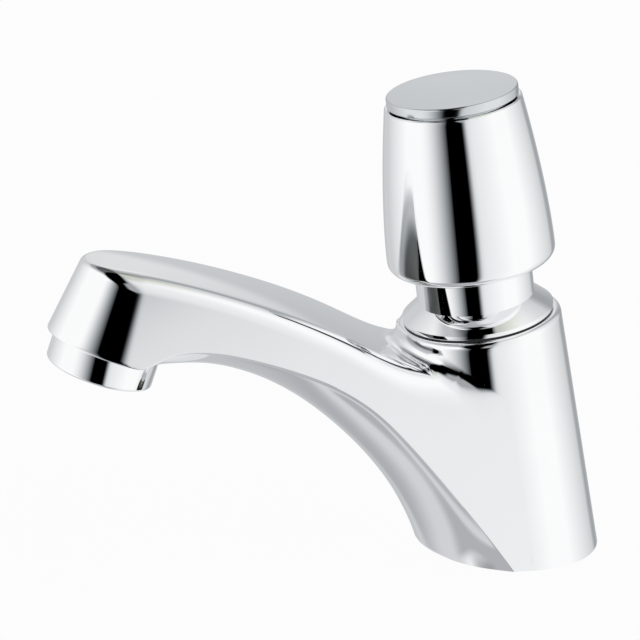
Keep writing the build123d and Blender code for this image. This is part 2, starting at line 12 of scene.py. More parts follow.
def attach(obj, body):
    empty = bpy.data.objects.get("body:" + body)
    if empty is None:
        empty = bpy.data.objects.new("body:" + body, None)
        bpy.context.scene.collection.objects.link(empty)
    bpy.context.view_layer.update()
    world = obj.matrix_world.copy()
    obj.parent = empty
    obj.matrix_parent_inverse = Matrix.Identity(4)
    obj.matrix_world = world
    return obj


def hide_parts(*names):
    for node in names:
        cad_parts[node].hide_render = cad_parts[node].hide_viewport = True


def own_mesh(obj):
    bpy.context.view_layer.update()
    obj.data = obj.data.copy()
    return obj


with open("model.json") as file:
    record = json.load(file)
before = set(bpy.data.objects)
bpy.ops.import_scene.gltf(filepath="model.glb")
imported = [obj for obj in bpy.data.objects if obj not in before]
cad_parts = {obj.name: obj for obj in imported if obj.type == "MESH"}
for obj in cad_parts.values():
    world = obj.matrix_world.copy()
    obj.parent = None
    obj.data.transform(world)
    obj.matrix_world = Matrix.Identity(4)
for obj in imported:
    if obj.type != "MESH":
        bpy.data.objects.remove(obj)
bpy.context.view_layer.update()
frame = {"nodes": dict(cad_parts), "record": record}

bl_info = {
    "name": "Push timed tap",
    "version": (1, 0, 0),
    "blender": (4, 5, 0),
    "location": "View3D > Sidebar > Tap",
    "description": "Builds the finished surfaces of a push timed tap round its packed model",
    "category": "Object",
}

MM = 0.001
SAME_PLACE = 1e-7


# Sizes and colours that a user would change

def length(name, description, default):
    return bpy.props.FloatProperty(
        name=name, description=description, default=default, min=0, unit="LENGTH", subtype="DISTANCE")


def angle(name, description, degrees):
    return bpy.props.FloatProperty(
        name=name, description=description, default=radians(degrees), unit="ROTATION", subtype="ANGLE")


def colour(name, description, default):
    return bpy.props.FloatVectorProperty(
        name=name, description=description, default=default, size=3, min=0, max=1, subtype="COLOR")


class TapBodySizes(bpy.types.PropertyGroup):
    """Sizes of the casting, the button and the outlet."""
    lean: angle("Lean", "How far the barrel leans towards the spout", 10.8)
    base_radius: length("Base radius", "Radius of the barrel at the deck", 24.98 * MM)
    rim_radius: length("Rim radius", "Radius of the barrel under the collar", 22.0 * MM)
    rim_height: length("Rim height", "Height of the barrel along its axis", 65.9 * MM)
    rim_round: length("Rim rounding", "Rounding of the barrel's upper edge", 1.8 * MM)
    outlet_reach: length("Outlet reach", "From the barrel's axis to the outlet, at the deck", 114.2 * MM)
    outlet_height: length("Outlet height", "Height of the aerator's foot", 52.6 * MM)
    outlet_angle: angle("Outlet angle", "Tilt of the outlet towards the user", 16.2)
    nose_radius: length("Nose radius", "Half the nose's width at the outlet", 16.2 * MM)
    nose_length: length("Nose length", "How far back the nose's rounding reaches at the outlet", 22.5 * MM)
    nose_taper: angle("Nose taper", "How much the nose narrows upwards", 8.5)
    nose_round: length("Nose edge", "Rounding of the spout's upper edge beside the nose", 3.8 * MM)
    root_round: length("Root edge", "Rounding of the spout's upper edge at the barrel", 8.0 * MM)
    crown: length("Crown", "How far the spout's top falls from its middle to its edges", 0.9 * MM)
    root_fillet: length("Root fillet", "Hollow rounding between the spout's top and the barrel", 4.4 * MM)
    collar_radius: length("Collar radius", "Radius of the collar", 20.2 * MM)
    neck_radius: length("Neck radius", "Radius of the neck that the button slides on", 15.6 * MM)
    knob_radius: length("Button radius", "Widest radius of the button", 22.3 * MM)
    knob_foot: length("Button foot", "Height of the button's foot along the barrel's axis", 81.2 * MM)
    knob_height: length("Button height", "Height of the button's shell", 44.2 * MM)
    travel: length("Button travel", "How far the button goes down", 7.0 * MM)
    disc_radius: length("Disc radius", "Radius of the button's top disc", 17.2 * MM)
    aerator_radius: length("Aerator radius", "Radius of the aerator's ring", 14.1 * MM)
    aerator_rise: length("Aerator rise", "Height of the aerator's ring below the nose", 7.3 * MM)
    tail_radius: length("Tail radius", "Outer radius of the inlet tail's thread", 10.48 * MM)
    thread_pitch: length("Thread pitch", "Pitch of the inlet tail's thread", 1.814 * MM)


class TapFinishes(bpy.types.PropertyGroup):
    """Colours of the finishes."""
    chrome: colour("Chrome", "Polished chrome plate", (0.965, 0.968, 0.975))
    disc_chrome: colour("Disc chrome", "Chrome of the button's top disc", (0.735, 0.757, 0.775))
    nickel: colour("Nickel", "Nickel plate of the tail and its nut", (0.66, 0.64, 0.60))
    steel: colour("Steel", "Stainless steel", (0.62, 0.63, 0.64))
    brass: colour("Brass", "Turned brass", (0.78, 0.60, 0.30))
    rubber: colour("Rubber", "Black rubber", (0.025, 0.025, 0.026))
    foam: colour("Foam", "Closed-cell gasket", (0.06, 0.06, 0.065))
    acetal: colour("Acetal", "White moulded acetal", (0.80, 0.80, 0.77))
    grey_plastic: colour("Grey plastic", "Grey moulded plastic", (0.28, 0.29, 0.30))
    blue_plastic: colour("Blue plastic", "Blue moulded plastic", (0.06, 0.14, 0.32))
    floor: colour("Floor", "Pale floor", (0.93, 0.93, 0.93))


class TapStage(bpy.types.PropertyGroup):
    """Camera and floor."""
    azimuth: angle("Azimuth", "Camera's direction round the tap", 75.0)
    elevation: angle("Elevation", "Camera's height angle", 18.78)
    roll: angle("Roll", "Camera's roll", 3.0)
    distance: length("Distance", "From the camera to the tap", 0.650)
    floor_radius: length("Floor radius", "Radius of the round floor", 8.0)
    focus: bpy.props.FloatVectorProperty(
        name="Aim", description="Point at the middle of the picture", default=(0, -0.05583, 0.06424), size=3,
        subtype="TRANSLATION", unit="LENGTH")
    lens: bpy.props.FloatProperty(
        name="Lens", description="Focal length on a 36 mm sensor, in millimetres", default=139.285, min=1)


def sizes():
    return bpy.context.scene.tap_sizes


def finishes():
    return bpy.context.scene.tap_finishes


# Shader maths

class Wire:
    """A node socket that adds Math nodes when it is used in an expression."""

    def __init__(self, shader, socket):
        self.shader, self.socket = shader, socket

    def math(self, operation, *values):
        return self.shader.node("ShaderNodeMath", dict(operation=operation), dict(enumerate(values)))[0]

    def __add__(self, other):
        return self.math("ADD", self, other)

    def __sub__(self, other):
        return self.math("SUBTRACT", self, other)

    def __mul__(self, other):
        return self.math("MULTIPLY", self, other)

    def __truediv__(self, other):
        return self.math("DIVIDE", self, other)

    def __radd__(self, other):
        return self.math("ADD", other, self)

    def __rsub__(self, other):
        return self.math("SUBTRACT", other, self)

    def ramp(self, kind, start, end):
        return self.shader.node(
            "ShaderNodeMapRange", dict(interpolation_type=kind),
            {"Value": self, "From Min": start, "From Max": end, "To Min": 0.0, "To Max": 1.0})["Result"]

    def step(self, start, end):
        """0 before start, 1 after end, smooth between."""
        return self.ramp("SMOOTHSTEP", start, end)

    def slope(self, start, end):
        """0 before start, 1 after end, straight between."""
        return self.ramp("LINEAR", start, end)


class Shader:
    """A node tree with short ways to add and link nodes."""

    def __init__(self, tree):
        self.tree = tree
        tree.nodes.clear()

    def node(self, kind, settings=None, inputs=None):
        """Adds a node, makes its settings, fills its sockets and returns its outputs as wires."""
        made = self.tree.nodes.new(kind)
        for name, value in (settings or {}).items():
            setattr(made, name, value)
        for name, value in (inputs or {}).items():
            socket = made.inputs[name]
            if isinstance(value, Wire):
                self.tree.links.new(value.socket, socket)
            else:
                socket.default_value = value
        return Outputs(self, made)


class Outputs:
    """A node's outputs by name or number."""

    def __init__(self, shader, made):
        self.shader, self.made = shader, made

    def __getitem__(self, key):
        return Wire(self.shader, self.made.outputs[key])


def new_material(name):
    material = bpy.data.materials.new(name)
    material.use_nodes = True
    return material, Shader(material.node_tree)


def mix_colour(shader, share, first, second):
    return shader.node(
        "ShaderNodeMix", dict(data_type="RGBA"), {0: share, 6: (*first, 1.0), 7: (*second, 1.0)})[2]


def noise(shader, scale, detail=2.0, roughness=0.5, stretch=None):
    """Noise in the piece's own space, in features per metre."""
    place = shader.node("ShaderNodeTexCoord")["Object"]
    if stretch:
        place = shader.node("ShaderNodeMapping", {}, {"Vector": place, "Scale": stretch})["Vector"]
    return shader.node(
        "ShaderNodeTexNoise", {},
        {"Vector": place, "Scale": scale, "Detail": detail, "Roughness": roughness})["Fac"]


def finish_material(name, tint, metallic, rough, rough_spread, grain, bump_height, shade=0.94, stretch=None):
    """A finish with its colour, gloss and skin varied by a fine grain and broad, faint clouds."""
    material, shader = new_material(name)
    clouds_per_metre = 45.0
    fine = noise(shader, grain, 4.0, 0.6, stretch)
    broad = noise(shader, clouds_per_metre, 3.0)
    fine_share, middle = 0.6, 0.5
    inputs = {
        "Base Color": mix_colour(shader, broad.step(0.35, 0.65), tint, [shade * c for c in tint]),
        "Metallic": metallic,
        "Roughness": rough + (fine * fine_share + broad * (1 - fine_share) - middle) * rough_spread,
    }
    if bump_height:
        inputs["Normal"] = shader.node(
            "ShaderNodeBump", {}, {"Height": fine, "Distance": bump_height, "Strength": 1.0})["Normal"]
    surface = shader.node("ShaderNodeBsdfPrincipled", {}, inputs)["BSDF"]
    shader.node("ShaderNodeOutputMaterial", {}, {"Surface": surface})
    return material


MATERIALS = {}


def materials():
    """Every finish by its record slot, made once."""
    if MATERIALS:
        return MATERIALS
    f = finishes()
    metal, plain = 1.0, 0.0
    drawn, turned = (1, 1, 14), (1, 1, 12)
    finish_rows = (
        # slot, colour, metallic, roughness, its spread, grains per metre, grain height, darker share, stretch
        ("chrome", f.chrome, metal, 0.02, 0.014, 260.0, 0.0, 0.99),
        ("chrome_disc", f.disc_chrome, metal, 0.10, 0.04, 1400.0, 0.0, 0.98),
        ("nickel", f.nickel, metal, 0.24, 0.14, 900.0, 0.004 * MM, 0.86),
        ("steel", f.steel, metal, 0.26, 0.12, 700.0, 0.004 * MM, 0.9, drawn),
        ("spring_steel", f.steel, metal, 0.22, 0.1, 900.0, 0.002 * MM, 0.85),
        ("brass", f.brass, metal, 0.22, 0.12, 800.0, 0.004 * MM, 0.86, turned),
        ("black_rubber", f.rubber, plain, 0.62, 0.2, 1500.0, 0.01 * MM, 0.7),
        ("gasket_foam", f.foam, plain, 0.85, 0.15, 2200.0, 0.06 * MM, 0.6),
        ("white_acetal", f.acetal, plain, 0.36, 0.12, 600.0, 0.004 * MM, 0.95),
        ("grey_plastic", f.grey_plastic, plain, 0.42, 0.12, 900.0, 0.006 * MM, 0.9),
        ("blue_plastic", f.blue_plastic, plain, 0.38, 0.12, 900.0, 0.006 * MM, 0.9),
    )
    for row in finish_rows:
        MATERIALS[row[0]] = finish_material(*row)
    return MATERIALS


# Making pieces

def button_matrix():
    """From the barrel's own axis to the shared frame."""
    return Matrix.Rotation(sizes().lean, 4, "X")


def outlet_matrix():
    """From the outlet's own axis, at the aerator's foot, to the shared frame."""
    s = sizes()
    place = Matrix.Translation((0, -s.outlet_reach, s.outlet_height))
    return place @ Matrix.Rotation(-s.outlet_angle, 4, "X")


def keep(bm, name, body, slot, replaced=(), sharp=32.0, merge=True):
    """Turns a bmesh into a finished piece that rides on a body."""
    if merge:
        bmesh.ops.remove_doubles(bm, verts=bm.verts, dist=SAME_PLACE)
    bmesh.ops.recalc_face_normals(bm, faces=bm.faces)
    for face in bm.faces:
        face.smooth = True
    mesh = bpy.data.meshes.new(name)
    bm.to_mesh(mesh)
    bm.free()
    mesh.set_sharp_from_angle(angle=radians(sharp))
    piece = bpy.data.objects.new(name, mesh)
    bpy.context.scene.collection.objects.link(piece)
    mesh.materials.append(materials()[slot])
    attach(piece, body)
    if replaced:
        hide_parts(*replaced)
    return piece


def rounded(corners, parts=6):
    """Profile points from (radius, height, rounding) corners, with each rounding worked in."""
    points = []
    for index, (radius, height, rounding) in enumerate(corners):
        here = Vector((radius, height))
        if not rounding or index in (0, len(corners) - 1):
            points.append(here)
            continue
        back = (Vector(corners[index - 1][:2]) - here).normalized()
        on = (Vector(corners[index + 1][:2]) - here).normalized()
        half = back.angle(on) / 2
        run = rounding / tan(half)
        middle = here + (back + on).normalized() * (rounding / sin(half))
        start, end = here + back * run - middle, here + on * run - middle
        turn = start.angle_signed(end)
        for step in range(parts + 1):
            spoke = start.copy()
            spoke.rotate(Matrix.Rotation(-turn * step / parts, 2))
            points.append(middle + spoke)
    return points


def spin_profile(bm, points, steps=160, matrix=None):
    """Spins a closed or pole-to-pole profile of (radius, height) points about its axis."""
    verts = [bm.verts.new((point[0], 0, point[1])) for point in points]
    edges = [bm.edges.new(pair) for pair in zip(verts, verts[1:])]
    if points[0][0] > 1e-9 or points[-1][0] > 1e-9:
        edges.append(bm.edges.new((verts[-1], verts[0])))
    bmesh.ops.spin(
        bm, geom=verts + edges, cent=(0, 0, 0), axis=(0, 0, 1), angle=2 * pi, steps=steps, use_merge=True)
    if matrix:
        bmesh.ops.transform(bm, matrix=matrix, verts=bm.verts)
    bmesh.ops.remove_doubles(bm, verts=bm.verts, dist=SAME_PLACE)


def curve_point(start, control, end, t):
    """A place along the curve from start to end that leaves and arrives towards control."""
    return (1 - t) ** 2 * start + 2 * t * (1 - t) * control + t * t * end


def smooth_line(points, count=3000):
    """A function of the first coordinate along a smooth line that is drawn by these points."""
    held = np.array([points[0], points[0], *points, points[-1], points[-1]], float)
    shares = np.linspace(0, len(held) - 3 - 1e-9, count)
    first = shares.astype(int)
    t = (shares - first)[:, None]
    line = ((1 - t) ** 3 * held[first] + (3 * t ** 3 - 6 * t ** 2 + 4) * held[first + 1]
            + (-3 * t ** 3 + 3 * t ** 2 + 3 * t + 1) * held[first + 2] + t ** 3 * held[first + 3]) / 6
    order = np.argsort(line[:, 0])
    along, values = line[order, 0], line[order, 1:]
    if values.shape[1] == 1:
        return lambda place: float(np.interp(place, along, values[:, 0]))
    return lambda place: [float(np.interp(place, along, column)) for column in values.T]


# The casting

class Casting:
    """The casting's outer surface in millimetres: what each height and place along it measures."""

    keel_stations = [
        # crease y, keel y, keel z, band x as a share of the crease's x, band fall, band sag
        (-116.0, -112.0, 58.7, 0.80, 0.3, 0.0),
        (-110.0, -108.0, 57.5, 0.80, 0.6, 0.0),
        (-105.5, -102.0, 55.9, 0.82, 1.0, 0.10),
        (-98.0, -96.8, 54.9, 0.84, 1.25, 0.25),
        (-91.0, -90.4, 55.2, 0.85, 1.25, 0.25),
        (-82.5, -83.1, 54.4, 0.865, 1.25, 0.27),
        (-72.5, -74.8, 51.6, 0.88, 1.25, 0.30),
        (-65.0, -68.8, 48.7, 0.885, 1.25, 0.30),
        (-57.1, -62.2, 44.8, 0.885, 1.25, 0.30),
        (-48.0, -54.5, 39.0, 0.88, 1.35, 0.32),
        (-38.3, -46.3, 31.6, 0.87, 1.5, 0.35),
        (-30.5, -39.5, 24.2, 0.85, 1.8, 0.38),
        (-23.1, -33.3, 16.1, 0.83, 2.4, 0.40),
        (-14.4, -28.1, 6.8, 0.81, 4.3, 0.30),
        (-9.5, -26.2, 2.4, 0.81, 6.4, 0.05),
        (-5.5, -25.05, 0.0, 0.815, 9.2, -0.3),
        (-2.0, -23.6, -4.0, 0.82, 11.5, -0.3),
        (4.0, -21.5, -9.0, 0.82, 14.0, -0.3),
    ]
    crease_points = [
        # y and height of the edge between flank and underside
        (-136, 66.6), (-128, 64.2), (-120, 61.9), (-112.4, 59.7), (-108.6, 58.6), (-106.2, 58.0),
        (-103.6, 58.8), (-100, 60.8), (-96, 62.1), (-91, 62.35), (-85, 61.8), (-78, 60.2), (-71, 58.3),
        (-64, 56.0), (-57, 53.2), (-50, 49.3), (-44, 44.8), (-38, 38.9), (-31, 31.2), (-23, 21.9),
        (-14, 11.1), (-5, -0.4), (2, -9.8), (8, -18.0),
    ]
    top_points = [
        # y and height of the spout's top in the middle plane
        (40, 52.0), (20, 52.5), (0, 53.4), (-12, 54.0), (-22, 54.7), (-30, 55.6), (-36, 57.1), (-42, 59.7),
        (-50, 63.9), (-58, 67.6), (-67, 71.2), (-76, 74.3), (-85, 77.1), (-94, 79.5), (-103, 81.5),
        (-111, 82.8), (-118, 83.1), (-124, 82.5), (-131, 80.3), (-140, 76.5),
    ]

    def __init__(self):
        s = sizes()
        self.lean, self.outlet_angle, self.nose_taper = s.lean, s.outlet_angle, s.nose_taper
        self.base_radius, self.rim_radius = s.base_radius / MM, s.rim_radius / MM
        self.rim_height = s.rim_height / MM
        self.taper = (self.base_radius - self.rim_radius) / self.rim_height
        self.nose_radius = s.nose_radius / MM
        self.nose_stretch = s.nose_length / s.nose_radius
        self.nose_round, self.root_round = s.nose_round / MM, s.root_round / MM
        self.crown, self.root_fillet = s.crown / MM, s.root_fillet / MM
        rise = s.aerator_rise / MM
        up = Vector((0, sin(self.outlet_angle), cos(self.outlet_angle)))
        forward = Vector((0, -cos(self.outlet_angle), sin(self.outlet_angle)))
        self.nose_centre = Vector((0, -s.outlet_reach / MM, s.outlet_height / MM)) + rise * up
        self.nose_lip = self.nose_centre + self.nose_radius * forward
        self.top_line = smooth_line(self.top_points)
        self.crease_line = smooth_line(self.crease_points)
        self.keel_line = smooth_line(self.keel_stations)

    def outline(self, height):
        """Level outline of the sides: the barrel's circle, the nose's ellipse and the flank's normal."""
        rounds = 4
        rear_y = -height * tan(self.lean)
        rear_radius = self.base_radius - self.taper * height / cos(self.lean)
        climb = (height - self.nose_centre.z) / cos(self.outlet_angle)
        half = self.nose_radius - climb * tan(self.nose_taper)
        reach = half * self.nose_stretch
        slant = tan(self.outlet_angle + self.nose_taper)
        front_y = self.nose_lip.y + (height - self.nose_lip.z) * slant + reach
        normal_y = 0.0
        for _ in range(rounds):
            support = sqrt(half ** 2 * (1 - normal_y ** 2) + (reach * normal_y) ** 2)
            normal_y = -(rear_radius - support) / (rear_y - front_y)
        return rear_y, rear_radius, front_y, (half, reach), normal_y, sqrt(1 - normal_y ** 2)

    def side(self, station, height):
        """A point on the sides. Stations 0 to 1 run along the flank, and 1 to 2 round the nose."""
        rear_y, rear_radius, front_y, (half, reach), normal_y, normal_x = self.outline(height)
        turn = atan2(normal_x * half, -normal_y * reach)
        if station > 1:
            turn *= 2 - station
            return half * sin(turn), front_y - reach * cos(turn)
        front_x, front_y = half * sin(turn), front_y - reach * cos(turn)
        x = rear_radius * normal_x * (1 - station) + front_x * station
        y = (rear_y + rear_radius * normal_y) * (1 - station) + front_y * station
        return x, y

    def half_width(self, y, height):
        """How far the flank stands from the middle plane."""
        rear_y, rear_radius, _, _, normal_y, normal_x = self.outline(height)
        return (normal_y * (rear_y - y) + rear_radius) / normal_x

    def edge_round(self, y):
        """Rounding of the upper edge, crisp at the nose's front and wider towards the barrel."""
        spout_start, spout_run, widening = -95.0, 72.0, 2.2
        nose_front, nose_run, crisp_share = -121.0, 15.0, 0.25
        share = min(1.0, max(0.0, (y - spout_start) / spout_run))
        front = min(1.0, max(0.0, (y - nose_front) / nose_run))
        full = self.nose_round + (self.root_round - self.nose_round) * share ** widening
        return full * (crisp_share + (1 - crisp_share) * front * front * (3 - 2 * front))

    def crowned(self, x, y):
        """Height of the spout's top before its edge is rounded."""
        return self.top_line(y) - self.crown * (x / self.half_width(y, self.nose_lip.z)) ** 2

    def settle(self, station, line):
        """The height where the side at this station meets a surface, given as a height over x and y."""
        height, rounds, nearer_share = 60.0, 30, 0.6
        for _ in range(rounds):
            height += nearer_share * (line(*self.side(station, height)) - height)
        return height


def spout_column(casting, station, rows):
    """Points down one column of the spout's right half, from the top's middle to the keel."""
    corner = casting.settle(station, casting.crowned)
    corner_x, corner_y = casting.side(station, corner)
    nose_start = casting.side(1.0, casting.settle(1.0, casting.crowned))
    pole = Vector((0, corner_y if station <= 1 else nose_start[1]))
    inward = (pole - Vector((corner_x, corner_y))).normalized() if station < 2 else Vector((0, 1))
    points = []
    edge = Vector((corner_x, corner_y)) + inward * casting.edge_round(corner_y)
    for step in range(rows["top"]):
        place = pole.lerp(edge, step / rows["top"])
        points.append((place.x, place.y, casting.crowned(place.x, place.y)))
    height = corner
    for step in range(rows["edge"]):
        turn = pi / 2 * step / rows["edge"]
        for _ in range(10):
            outer = Vector(casting.side(station, height))
            rounding = casting.edge_round(outer.y)
            place = outer + inward * rounding * (1 - sin(turn))
            height = 0.5 * height + 0.5 * (casting.crowned(place.x, place.y) - rounding * (1 - cos(turn)))
        points.append((place.x, place.y, height))
    for _ in range(12):
        outer = Vector(casting.side(station, height))
        height = 0.5 * height + 0.5 * (casting.crowned(outer.x, outer.y) - casting.edge_round(outer.y))
    foot = casting.settle(station, lambda x, y: casting.crease_line(y))
    flank_soft, nose_soft, band_most, least_bulge = 0.35, 0.6, 0.6, 0.02
    soft = flank_soft if station <= 1 else nose_soft
    for step in range(rows["flank"] + 1):
        level = height + (foot + soft - height) * step / rows["flank"]
        points.append((*casting.side(station, level), level))
    crease = Vector((*casting.side(station, foot), foot))
    if station <= 1:
        keel_y, keel_z, band_share, band_fall, sag = casting.keel_line(crease.y)
    else:
        nose_foot = casting.side(1.0, casting.settle(1.0, lambda x, y: casting.crease_line(y)))
        keel_y, keel_z, band_share, band_fall, sag = casting.keel_line(nose_foot[1])
    keel = Vector((0, keel_y, keel_z))
    down = keel - Vector((0, crease.y, crease.z))
    depth, down = down.length, down.normalized()
    if station <= 1:
        band_x, band_fall = band_share * crease.x, min(band_fall, band_most * depth)
        bulge = max(depth - band_fall, least_bulge)
        arc_radius = (band_x ** 2 + bulge ** 2) / (2 * bulge)
        sweep = asin(min(1.0, band_x / arc_radius))

        def place_at(x, fall):
            return Vector((x, crease.y, crease.z)) + down * fall

        slope = sqrt((crease.x - band_x) ** 2 + band_fall ** 2)
        hollow = (0.5 * (crease.x + band_x) - 2 * sag * band_fall / slope,
                  0.5 * band_fall - 2 * sag * (crease.x - band_x) / slope)
        under = []
        for step in range(rows["band"] + 1):
            t = step / rows["band"]
            x = (1 - t) ** 2 * crease.x + 2 * t * (1 - t) * hollow[0] + t * t * band_x
            fall = 2 * t * (1 - t) * hollow[1] + t * t * band_fall
            under.append(place_at(x, fall))
        for step in range(1, rows["panel"] + 1):
            turn = sweep * (1 - step / rows["panel"])
            under.append(place_at(arc_radius * sin(turn), depth - arc_radius + arc_radius * cos(turn)))
    else:
        under = [crease.lerp(keel, step / (rows["band"] + rows["panel"]))
                 for step in range(rows["band"] + rows["panel"] + 1)]
    start = Vector(points.pop())
    end = crease + (under[1] - crease).normalized() * soft
    for step in range(rows["crease"] + 1):
        t = step / rows["crease"]
        points.append(curve_point(start, crease, end, t))
    points += under[1:]
    return [Vector(point) for point in points]


def spread_grid(bm, columns):
    """A grid of quads whose vertices are moved to columns of points."""
    wide, tall = len(columns), len(columns[0])
    made = bmesh.ops.create_grid(bm, x_segments=wide - 1, y_segments=tall - 1, size=1.0)
    for vert in made["verts"]:
        column = round((vert.co.x + 1) / 2 * (wide - 1))
        row = round((vert.co.y + 1) / 2 * (tall - 1))
        vert.co = columns[column][row]
    return made["verts"]


def of_type(items, kind):
    """The vertices, edges or faces among what an operator gives back."""
    return [item for item in items if isinstance(item, kind)]


def cut_at_deck(bm, level):
    """Cuts a closed shell off level, closes it and sinks the gasket's recess into its foot."""
    recess_margin, recess_depth = 2.2, 1.85
    bmesh.ops.bisect_plane(
        bm, geom=bm.verts[:] + bm.edges[:] + bm.faces[:], dist=1e-6, plane_co=(0, 0, level),
        plane_no=(0, 0, 1), clear_inner=True)
    rim = [edge for edge in bm.edges
           if edge.is_boundary and all(abs(vert.co.z - level) < 1e-4 for vert in edge.verts)]
    foot = bmesh.ops.holes_fill(bm, edges=rim, sides=0)["faces"]
    bmesh.ops.inset_region(bm, faces=foot, thickness=recess_margin, use_even_offset=True)
    sunk = bmesh.ops.extrude_face_region(bm, geom=foot)["geom"]
    bmesh.ops.translate(bm, vec=(0, 0, recess_depth), verts=of_type(sunk, bmesh.types.BMVert))
    bmesh.ops.delete(bm, geom=foot, context="FACES")


def barrel_shell(casting):
    """The leaning cone with its rounded rim. Its front is drawn in where the spout covers it."""
    bm = bmesh.new()
    s = sizes()
    below = 6.0
    corners = [
        (0, casting.rim_height, 0), (casting.rim_radius, casting.rim_height, s.rim_round / MM),
        (casting.base_radius + casting.taper * below, -below, 0)]
    points = rounded(corners, 10)
    slope = [points[-2].lerp(points[-1], step / 60) for step in range(1, 60)]
    spin_profile(bm, points[:-1] + slope + [points[-1], Vector((0, -below))], 256)
    bmesh.ops.rotate(bm, cent=(0, 0, 0), matrix=Matrix.Rotation(s.lean, 3, "X"), verts=bm.verts)

    # The hidden front, from low to high and round to each side, with soft ends
    low, low_run, high, high_run = 1.5, 5.0, 40.0, 6.0
    half_angle, angle_run, deepest = 76.0, 10.0, 1.2
    for vert in bm.verts:
        axis_y = -vert.co.z * tan(s.lean)
        from_front = abs(np.degrees(np.arctan2(vert.co.x, axis_y - vert.co.y)))
        depth = (np.clip((vert.co.z - low) / low_run, 0, 1) * np.clip((high - vert.co.z) / high_run, 0, 1)
                 * np.clip((half_angle - from_front) / angle_run, 0, 1))
        away = Vector((vert.co.x, vert.co.y - axis_y, 0))
        if depth > 0 and away.length > 5:
            vert.co -= away.normalized() * deepest * float(depth)
    cut_at_deck(bm, 0.0)
    return bm


def spout_shell(casting):
    """The spout's closed shell. Its rear end dives into the barrel."""
    bm = bmesh.new()
    rows = dict(top=26, edge=16, flank=36, crease=4, band=9, panel=26)
    stations = [step / 128 for step in range(128)] + [1 + step / 52 for step in range(53)]
    columns = [spout_column(casting, station, rows) for station in stations]
    touch = columns[0]
    dive = ((0.4, 0.97), (2.0, 0.93), (8.0, 0.88))
    for behind, narrower in dive:
        columns.insert(0, [Vector((point.x * narrower, point.y + behind, point.z)) for point in touch])
    spread_grid(bm, columns)
    bmesh.ops.remove_doubles(bm, verts=bm.verts, dist=1e-5)
    bmesh.ops.mirror(bm, geom=bm.verts[:] + bm.edges[:] + bm.faces[:], axis="X", merge_dist=1e-4)
    bmesh.ops.remove_doubles(bm, verts=bm.verts, dist=1e-4)
    bmesh.ops.holes_fill(bm, edges=[edge for edge in bm.edges if edge.is_boundary], sides=0)
    bmesh.ops.recalc_face_normals(bm, faces=bm.faces)
    cut_at_deck(bm, level=0.04)
    return bm


def root_fillet_shell(casting):
    """The hollow rounding between the barrel and the spout's top and upper edge, one section a turn step."""
    bm = bmesh.new()
    lean, taper = casting.lean, casting.taper
    along = Vector((0, -sin(lean), cos(lean)))
    front = Vector((0, -cos(lean), -sin(lean)))
    near, flank_share, lowest, highest, least_ball = 0.1, 0.99, 15.0, 66.0, 0.02
    sink, slip, deep = 0.4, 0.05, 1.0

    def from_spout(place):
        """Distance of a place outside the spout's top, flank and the rounding between them."""
        x, y = abs(place.x), place.y
        rounding = casting.edge_round(y)
        slope = (casting.top_line(y + near) - casting.top_line(y - near)) / (2 * near)
        over = (place.z - casting.crowned(x, y)) / sqrt(1 + slope ** 2) + rounding
        aside = (x - casting.half_width(y, place.z)) * flank_share + rounding
        return (sqrt(over ** 2 + aside ** 2) if over > 0 and aside > 0 else max(over, aside)) - rounding

    def from_barrel(place):
        height = place.dot(along)
        return ((place - along * height).length - casting.base_radius + taper * height) / sqrt(1 + taper ** 2)

    def blend(place, ball):
        """Distance outside both with a rounding between them."""
        near_spout, near_barrel = ball - from_spout(place), ball - from_barrel(place)
        if near_spout > 0 and near_barrel > 0:
            return ball - sqrt(near_spout ** 2 + near_barrel ** 2)
        return ball - max(near_spout, near_barrel)

    def solve(low, high, value):
        """Where a rising function of one number crosses zero."""
        for _ in range(40):
            middle = (low + high) / 2
            low, high = (low, middle) if value(middle) > 0 else (middle, high)
        return (low + high) / 2

    def outward(place, distance):
        """The way that leads straight out of a surface."""
        steps = (Vector((slip, 0, 0)), Vector((0, slip, 0)), Vector((0, 0, slip)))
        return Vector([distance(place + step) - distance(place - step) for step in steps]).normalized()

    def settled(place, distance):
        """The place moved straight onto the surface at distance zero."""
        for _ in range(4):
            place = place - outward(place, distance) * distance(place)
        return place

    def seam(crease, way, own, other, ball):
        """Where the rounding leaves one surface, at the ball's radius from the other one."""
        run = solve(0, 6 * ball, lambda run: other(settled(crease + way * run, own)) - ball)
        return settled(crease + way * run, own)

    columns = []
    widest, count, parts = 84.5, 200, 18
    for index in range(count + 1):
        azimuth = radians(widest * (2 * index / count - 1))
        out = Vector((sin(azimuth), 0, 0)) + front * cos(azimuth)

        def wall(height):
            return along * height + out * (casting.base_radius - taper * height)

        crease = wall(solve(lowest, highest, lambda height: from_spout(wall(height))))
        wall_out, spout_out = outward(crease, from_barrel), outward(crease, from_spout)
        facing = spout_out.dot(wall_out)
        ball = casting.root_fillet * min(1.0, sqrt(1 - facing)) + least_ball
        up_wall = (spout_out - wall_out * facing).normalized()
        off_wall = (wall_out - spout_out * facing).normalized()
        upper = seam(crease, up_wall, from_barrel, from_spout, ball)
        lower = seam(crease, off_wall, from_spout, from_barrel, ball)
        air = (wall_out + spout_out).normalized()
        eye = (upper + lower) / 2 + air * 1.2 * ball
        section = []
        for step in range(parts + 1):
            ray = (upper.lerp(lower, step / parts) - eye).normalized()
            place = eye.copy()
            for _ in range(40):
                place += ray * blend(place, ball) * 0.95
            section.append(place)
        section.append(section[-1] - spout_out * sink + off_wall * slip)
        section.append(crease - air * deep)
        section.append(section[0] - wall_out * sink + up_wall * slip)
        section.append(section[0].copy())
        columns.append(section)
    spread_grid(bm, columns)
    bmesh.ops.remove_doubles(bm, verts=bm.verts, dist=1e-5)
    bmesh.ops.holes_fill(bm, edges=[edge for edge in bm.edges if edge.is_boundary], sides=0)
    bmesh.ops.recalc_face_normals(bm, faces=bm.faces)
    return bm


